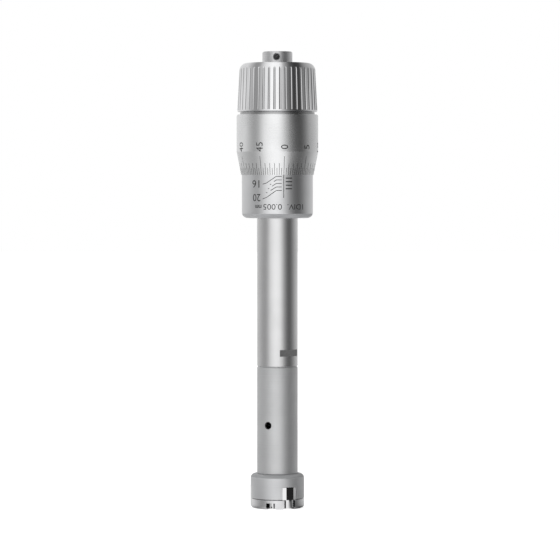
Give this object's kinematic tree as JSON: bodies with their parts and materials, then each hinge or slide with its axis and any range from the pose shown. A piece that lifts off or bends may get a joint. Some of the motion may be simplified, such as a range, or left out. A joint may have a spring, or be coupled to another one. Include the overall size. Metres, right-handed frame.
{
  "type": "three-point inside micrometer",
  "caption": "Upright inside micrometer: slim tube with a three-anvil measuring head below, graduated sleeve and tapered thimble above, fluted ratchet knob on top; measures bores.",
  "frame": {"origin": "centre of the end cap's face, on which the micrometer stands", "axes": "+Z along the tube from the measuring head to the ratchet, -Y towards the viewer of the picture, +X to the viewer's right"},
  "size_m": [0.0234, 0.0234, 0.131],
  "materials": {
    "satin_chrome": "satin chrome",
    "polished_steel": "ground and polished",
    "polished_chrome": "bright chrome",
    "lapped_steel": "lapped mirror",
    "hardened_steel": "ground",
    "spring_steel": "drawn wire and strip",
    "bronze": "turned"
  },
  "bodies": {
    "frame": {"end_cap": "polished_steel", "end_cap_screws": "hardened_steel", "head_body": "satin_chrome", "leaf_spring_1": "spring_steel", "leaf_spring_2": "spring_steel", "leaf_spring_3": "spring_steel", "head_tube": "satin_chrome", "main_tube": "polished_steel", "rod_guide": "bronze", "rod_spring": "spring_steel", "sleeve": "satin_chrome", "inner_sleeve": "hardened_steel", "adjusting_nut": "hardened_steel"},
    "rod": {"cone": "lapped_steel", "push_rod": "hardened_steel", "rod_collar": "hardened_steel", "thrust_ball": "lapped_steel"},
    "thimble": {"spindle": "hardened_steel", "thimble": "satin_chrome", "clamp_washer": "hardened_steel", "ratchet_screw": "polished_steel", "ratchet_spring": "spring_steel"},
    "plate": {"ratchet_plate": "hardened_steel", "ratchet_key_pin": "hardened_steel"},
    "ratchet": {"ratchet_knob": "polished_chrome"},
    "anvil_1": {"anvil_1": "lapped_steel"},
    "anvil_2": {"anvil_2": "lapped_steel"},
    "anvil_3": {"anvil_3": "lapped_steel"}
  },
  "joints": [
    {"name": "spindle_feed", "type": "slide", "parent": "frame", "child": "rod", "axis": [0, 0, -1], "range_m": [0, 0.0045], "deforming": ["rod_spring"]},
    {"name": "thimble_turn", "type": "hinge", "parent": "rod", "child": "thimble", "pos_m": [0, 0, 0.1], "axis": [0, 0, -1], "range_deg": [0, 3240]},
    {"name": "ratchet_turn", "type": "hinge", "parent": "thimble", "child": "ratchet", "pos_m": [0, 0, 0.12], "axis": [0, 0, -1], "continuous": true},
    {"name": "plate_lift", "type": "slide", "parent": "thimble", "child": "plate", "axis": [0, 0, -1], "range_m": [0, 0.0009], "stiffness_N_per_m": 300, "springref_m": -0.003, "deforming": ["ratchet_spring"]},
    {"name": "anvil_1_slide", "type": "slide", "parent": "frame", "child": "anvil_1", "axis": [0.4695, -0.8829, 0], "range_m": [0, 0.00225], "deforming": ["leaf_spring_1"]},
    {"name": "anvil_2_slide", "type": "slide", "parent": "frame", "child": "anvil_2", "axis": [0.5299, 0.848, 0], "range_m": [0, 0.00225], "deforming": ["leaf_spring_2"]},
    {"name": "anvil_3_slide", "type": "slide", "parent": "frame", "child": "anvil_3", "axis": [-0.9994, 0.0349, 0], "range_m": [0, 0.00225], "deforming": ["leaf_spring_3"]}
  ],
  "couplings": [
    {"joint": "thimble_turn", "follows": "spindle_feed", "rad_per_m": 12566},
    {"joint": "anvil_1_slide", "follows": "spindle_feed", "ratio": 0.5},
    {"joint": "anvil_2_slide", "follows": "spindle_feed", "ratio": 0.5},
    {"joint": "anvil_3_slide", "follows": "spindle_feed", "ratio": 0.5}
  ]
}
